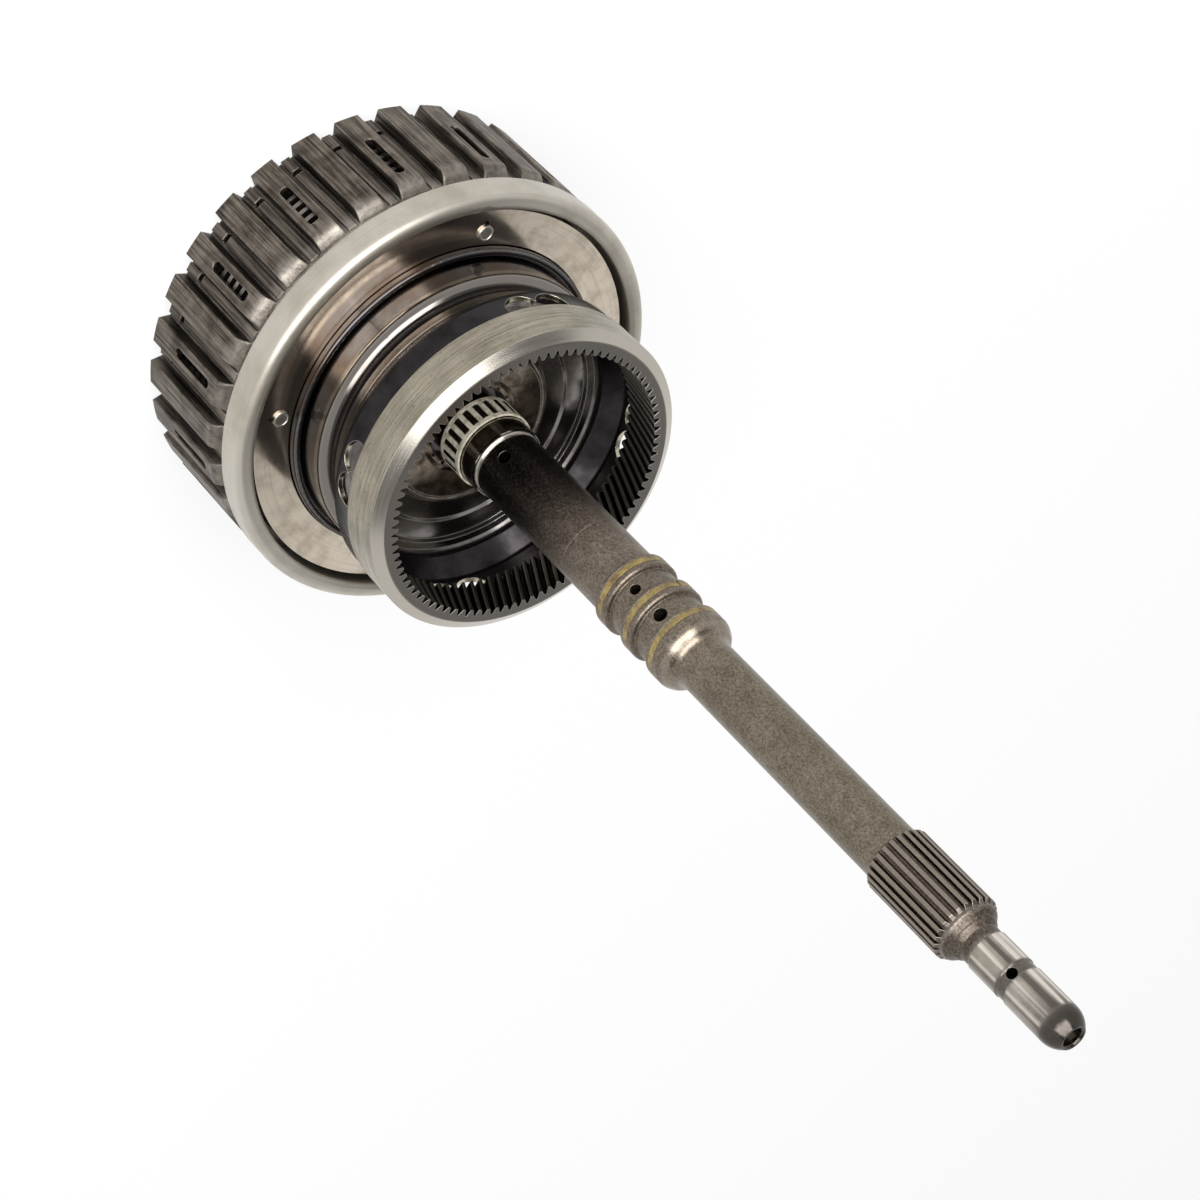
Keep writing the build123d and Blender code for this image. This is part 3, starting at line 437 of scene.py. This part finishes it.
# Heads 6 mm across with a raised rim, on 4.1 mm shanks that go down through the drum head
rivets = turned_row("cover_rivet_heads", rivet_steel, "drum_assembly",
                    [(0.0, 0.0), (0.00205, 0.0), (0.00205, 0.0062), (0.003, 0.0062), (0.003, 0.0069),
                     (0.00275, 0.00718), (0.00235, 0.0072), (0.0021, 0.00695), (0.0, 0.0069)],
                    {"Count": 4, "Circle": 0.0656, "Phase": math.radians(-47.8), "Foot": 0.052, "Sides": 40})
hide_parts("cover_rivets")


# Gear dish: a deep steel stamping that carries the ring gear. Its floor is drawn in steps
# and stained brown round the bearing, and its flared skirt is cut out in scallops under the
# gear. Its wall is painted near black as shade, and the sheared edges are a pale grey of bare
# metal with a painted highlight on it.

dish_steel, tree, shader = start_finish("stamped_and_oiled_steel", 1.0, 0.24)
place, height, radius, facing = round_shaft(tree)
film = add(tree, "ShaderNodeTexNoise", {"Vector": place, "Scale": 1 / 0.012, "Detail": 4, "Roughness": 0.6})
stain = add(tree, "ShaderNodeTexNoise", {"Vector": place, "Scale": 1 / 0.006, "Detail": 4, "Roughness": 0.6})
waves = add(tree, "ShaderNodeTexNoise", {"Vector": place, "Scale": 1 / 0.004, "Detail": 4, "Roughness": 0.6})
steps = lay_over(tree, "#918c89", "#655c57", film, 0.42, 0.68)
centre = lay_over(tree, "#998c7e", "#53463b", stain, 0.4, 0.62)
steps = lay_over(tree, steps, centre, radius, 0.033, 0.027)
# The wall above the floor's steps is painted near black as shade
shaded_wall = lay_over(tree, "#343132", "#232021", film, 0.42, 0.68)
base = lay_over(tree, steps, shaded_wall, height, 0.0775, 0.0800)
outside = add(tree, "ShaderNodeMapRange", [radius, 0.0526, 0.0530, 0.0, 1.0])
low_wall = add(tree, "ShaderNodeMapRange", [height, 0.0810, 0.0795, 0.0, 1.0])
low_wall = add(tree, "ShaderNodeMath", [outside, low_wall], operation="MULTIPLY")
base = lay_over(tree, base, "#6a6461", low_wall)
# A sheared edge faces along or round the shaft, and the sheet's own faces look at it or away from it
square = add(tree, "ShaderNodeNewGeometry", out="True Normal")
square = add(tree, "ShaderNodeVectorMath", [square, facing], out="Value", operation="DOT_PRODUCT")
square = add(tree, "ShaderNodeMath", [square], operation="ABSOLUTE")
sheared = add(tree, "ShaderNodeMapRange", [square, 0.25, 0.4, 1.0, 0.0])
skirt = add(tree, "ShaderNodeMapRange", [height, 0.0873, 0.0877, 0.0, 1.0])
sheared = add(tree, "ShaderNodeMath", [sheared, skirt], operation="MULTIPLY")
# Sheared edges are pale bare metal, with a painted highlight on them
base = lay_over(tree, base, "#c2b9a6", sheared)
soft, edge = rounded_edges(tree, 0.0005)
# Edges are lighter, for wear and as a painted highlight
base = lay_over(tree, base, "#c4bdb3", edge, most=0.5)
rough = add(tree, "ShaderNodeMapRange", [film, 0.42, 0.68, 0.18, 0.3])
bump = add(tree, "ShaderNodeBump", {"Height": waves, "Distance": 0.00008, "Strength": 0.4, "Normal": soft})
connect(tree, shader, {"Base Color": base, "Roughness": rough, "Normal": bump})
put_on(dish_steel, nodes["gear_dish"])


# Ring gear: a forged ring with ninety helical teeth broached inside, ground outside, seated
# on the mouth of the dish. Fine scratches run round it, the tips of its teeth are worn
# lighter, and the gaps between them are near black.

gear_steel, tree, shader = start_finish("ground_gear_steel", 1.0, 0.34)
place, height, radius, facing = round_shaft(tree)
rings = turning_marks(tree, height, radius, facing, 0.0004, 4.0)
pits = add(tree, "ShaderNodeTexNoise", {"Vector": place, "Scale": 1 / 0.0011, "Detail": 4, "Roughness": 0.6})
stain = add(tree, "ShaderNodeTexNoise", {"Vector": place, "Scale": 1 / 0.013, "Detail": 4, "Roughness": 0.6})
base = lay_over(tree, "#a8a192", "#7c7566", rings, 0.42, 0.66, 0.75)
base = lay_over(tree, base, "#7b775f", stain, 0.4, 0.7, 0.35, "MULTIPLY")
base = lay_over(tree, base, "#4d4842", pits, 0.58, 0.7, 0.5)
teeth = lay_over(tree, "#6d6862", "#1d1b1b", radius, 0.0514, 0.0522)
base = lay_over(tree, base, teeth, radius, 0.0550, 0.0545)
# The front face is duller than the freshly turned bevel round it
bevel = add(tree, "ShaderNodeMapRange", [radius, 0.0552, 0.0560, 0.0, 1.0])
bevel = add(tree, "ShaderNodeMath", [between(tree, height, 0.1114, 0.1137, 0.0001), bevel],
            operation="MULTIPLY")
base = lay_over(tree, base, "#bbb5aa", bevel)
base = lay_over(tree, base, "#75706b", height, 0.1137, 0.1139)
soft, edge = rounded_edges(tree, 0.0004)
# Edges are lighter, for wear and as a painted highlight
base = lay_over(tree, base, "#cfc9bf", edge, most=0.45)
rough = add(tree, "ShaderNodeMapRange", [rings, 0.3, 0.7, 0.3, 0.4])
smoother = add(tree, "ShaderNodeMath", [bevel, 0.12], operation="MULTIPLY")
rough = add(tree, "ShaderNodeMath", [rough, smoother], operation="SUBTRACT")
bump = add(tree, "ShaderNodeBump", {"Height": rings, "Distance": 0.00003, "Strength": 0.5, "Normal": soft})
connect(tree, shader, {"Base Color": base, "Roughness": rough, "Normal": bump})
put_on(gear_steel, nodes["ring_gear"])


# Piston and what it works: a die-cast and machined aluminium piston with moulded rubber
# seals and a steel apply ring, pushed back by one coil spring under a pressed steel
# retainer. The clutch plates are stamped steel, every second one faced with lining.

# Die-cast aluminium: pale grey, with the soft orange-peel grain of the mould
cast_alloy, tree, shader = start_finish("die_cast_aluminium", 1.0, 0.4)
place = add(tree, "ShaderNodeTexCoord", out="Object")
grain = add(tree, "ShaderNodeTexNoise", {"Vector": place, "Scale": 1 / 0.0015, "Detail": 4, "Roughness": 0.6})
bump = add(tree, "ShaderNodeBump", {"Height": grain, "Distance": 0.00006, "Strength": 1.0})
connect(tree, shader, {"Base Color": lay_over(tree, "#8f9093", "#b9babc", grain), "Normal": bump})
put_on(cast_alloy, nodes["piston"])

# Nitrile rubber, moulded: black and matte
rubber, tree, shader = start_finish("moulded_nitrile_rubber", 0.0, 0.6)
place = add(tree, "ShaderNodeTexCoord", out="Object")
bloom = add(tree, "ShaderNodeTexNoise", {"Vector": place, "Scale": 1 / 0.002, "Detail": 4, "Roughness": 0.6})
connect(tree, shader, {"Base Color": lay_over(tree, "#161616", "#2a2928", bloom)})
put_on(rubber, nodes["piston_outer_seal"], nodes["piston_inner_seal"], nodes["retainer_seal"])

# Spring wire, drawn and oil-tempered: dark grey with a dull shine
spring_wire, tree, shader = start_finish("drawn_spring_wire", 1.0, 0.3)
place = add(tree, "ShaderNodeTexCoord", out="Object")
tint = add(tree, "ShaderNodeTexNoise", {"Vector": place, "Scale": 1 / 0.0015, "Detail": 4, "Roughness": 0.6})
connect(tree, shader, {"Base Color": lay_over(tree, "#4b4743", "#7d7770", tint)})
# The coil is a copy of its CAD node, 11.4 mm high at rest; the piston's stroke is 2.28 mm
coil_mesh = nodes["return_spring"].data.copy()
coil_mesh.name = "return_spring_coil"
welded = bmesh.new()
welded.from_mesh(coil_mesh)
bmesh.ops.remove_doubles(welded, verts=welded.verts, dist=0.000001)
welded.to_mesh(coil_mesh)
welded.free()
coil = bpy.data.objects.new("return_spring_coil", coil_mesh)
bpy.context.scene.collection.objects.link(coil)
put_on(spring_wire, coil)
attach(coil, "drum_assembly")
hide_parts("return_spring")
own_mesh(coil)

# Steel sheet, stamped and ground: mid grey with rings, browned by hot oil
pressed_steel, tree, shader = start_finish("pressed_steel_sheet", 1.0, 0.36)
place, height, radius, facing = round_shaft(tree)
rings = turning_marks(tree, height, radius, facing, 0.0005, 2.5)
oil = add(tree, "ShaderNodeTexNoise", {"Vector": place, "Scale": 1 / 0.01, "Detail": 4, "Roughness": 0.6})
base = lay_over(tree, "#6b6661", "#989189", rings, 0.3, 0.7)
base = lay_over(tree, base, "#6a5a4a", oil, 0.45, 0.7, 0.6, "MULTIPLY")
bump = add(tree, "ShaderNodeBump", {"Height": rings, "Distance": 0.00003, "Strength": 0.6})
connect(tree, shader, {"Base Color": base, "Normal": bump})
put_on(pressed_steel, nodes["spring_retainer"], nodes["apply_ring"], nodes["end_plate"],
       *[nodes[f"{kind}_plate_{k}"] for kind in ("friction", "steel") for k in range(1, 6)])

# Paper lining, soaked in resin and bonded on: dark brown, porous and quite matte
lining, tree, shader = start_finish("paper_friction_lining", 0.0, 0.85)
place = add(tree, "ShaderNodeTexCoord", out="Object")
fibre = add(tree, "ShaderNodeTexNoise", {"Vector": place, "Scale": 1 / 0.0012, "Detail": 6, "Roughness": 0.6})
pores = add(tree, "ShaderNodeTexNoise", {"Vector": place, "Scale": 1 / 0.0006, "Detail": 4, "Roughness": 0.6})
bump = add(tree, "ShaderNodeBump", {"Height": pores, "Distance": 0.00008, "Strength": 1.0})
connect(tree, shader, {"Base Color": lay_over(tree, "#2a211a", "#4b3d30", fibre), "Normal": bump})
put_on(lining, *[nodes[f"friction_lining_{k}"] for k in range(1, 6)])


# Studio: a white paper floor under the drum, two large soft boxes beside the camera and one
# overhead, in a room with pale walls and a darker ceiling. The camera stands where the
# photograph was taken from.

reach = 12
corners = [(-reach, -reach, 0), (reach, -reach, 0), (reach, reach, 0), (-reach, reach, 0)]
floor_mesh = bpy.data.meshes.new("floor")
floor_mesh.from_pydata(corners, [], [(0, 1, 2, 3)])
floor = bpy.data.objects.new("floor", floor_mesh)
bpy.context.scene.collection.objects.link(floor)
# Uncoated white paper, matte. It glows to the camera, in reflections and through glass, so that
# it shows nearly white and still keeps the drum's shadow.
paper, tree, shader = start_finish("white_paper_floor", 0.0, 0.9)
connect(tree, shader, {"Base Color": "#f4f4f4"})
seen = add(tree, "ShaderNodeLightPath").node.outputs
shown = add(tree, "ShaderNodeMath", [seen["Is Camera Ray"], seen["Is Glossy Ray"]], operation="MAXIMUM")
shown = add(tree, "ShaderNodeMath", [shown, seen["Is Transmission Ray"]], operation="MAXIMUM")
share = add(tree, "ShaderNodeMath", [shown, 0.78], operation="MULTIPLY")
glow = add(tree, "ShaderNodeEmission", {"Color": "#ffffff", "Strength": 1.0})
mixed = add(tree, "ShaderNodeMixShader", [share, shader.outputs[0], glow])
connect(tree, tree.nodes["Material Output"], {"Surface": mixed})
put_on(paper, floor)

# The room's walls are pale up to about forty degrees over the horizon, and its ceiling is darker
world = bpy.data.worlds.new("pale_room")
world.use_nodes = True
tree = world.node_tree
toward = add(tree, "ShaderNodeTexCoord", out="Generated")
rise = add(tree, "ShaderNodeSeparateXYZ", [toward], out="Z")
room = add(tree, "ShaderNodeValToRGB", [rise], stops=[
    (0.0, "#f2f2f2"), (0.665, "#f2f2f2"), (0.705, "#808080"), (1.0, "#8a8a8a")])
seen = add(tree, "ShaderNodeLightPath", out="Is Camera Ray")
connect(tree, tree.nodes["Background"], {"Color": lay_over(tree, room, "#ffffff", seen), "Strength": 1.0})
bpy.context.scene.world = world

# Each soft box hangs 1.5 m from the dish, at its side angle and its lift over the horizon
aim = Vector((0, 0, 0.12))
for name, side, lift, power, wide, tall in (("left_box", -23, 47, 12, 0.85, 0.85),
                                            ("right_box", 21, 46, 12, 0.85, 0.85),
                                            ("top_box", 0, 73, 3.5, 1.0, 0.4)):
    lamp = bpy.data.lights.new(name, "AREA")
    lamp.energy = power
    lamp.shape = "RECTANGLE"
    lamp.size = wide
    lamp.size_y = tall
    box = bpy.data.objects.new(name, lamp)
    turn, tip = math.radians(side), math.radians(lift)
    way = Vector((math.cos(turn) * math.cos(tip), math.sin(turn) * math.cos(tip), math.sin(tip)))
    box.location = way * 1.5 + aim
    box.rotation_mode = "QUATERNION"
    box.rotation_quaternion = way.to_track_quat("Z", "Y")
    bpy.context.scene.collection.objects.link(box)

# The camera's own axes and the place where it stands
right = (-0.42531, -0.71711, 0.55221)
up = (0.43757, -0.69700, -0.56813)
back = (0.79224, 0.0, 0.61020)
stand = (0.8797, 0.0097, 0.8477)
lens = bpy.data.cameras.new("camera")
lens.lens = 102
lens.sensor_width = 36
camera = bpy.data.objects.new("camera", lens)
camera.matrix_world = Matrix([(right[i], up[i], back[i], stand[i]) for i in range(3)] + [(0, 0, 0, 1)])
bpy.context.scene.collection.objects.link(camera)
bpy.context.scene.camera = camera
bpy.context.scene.view_settings.view_transform = "Standard"
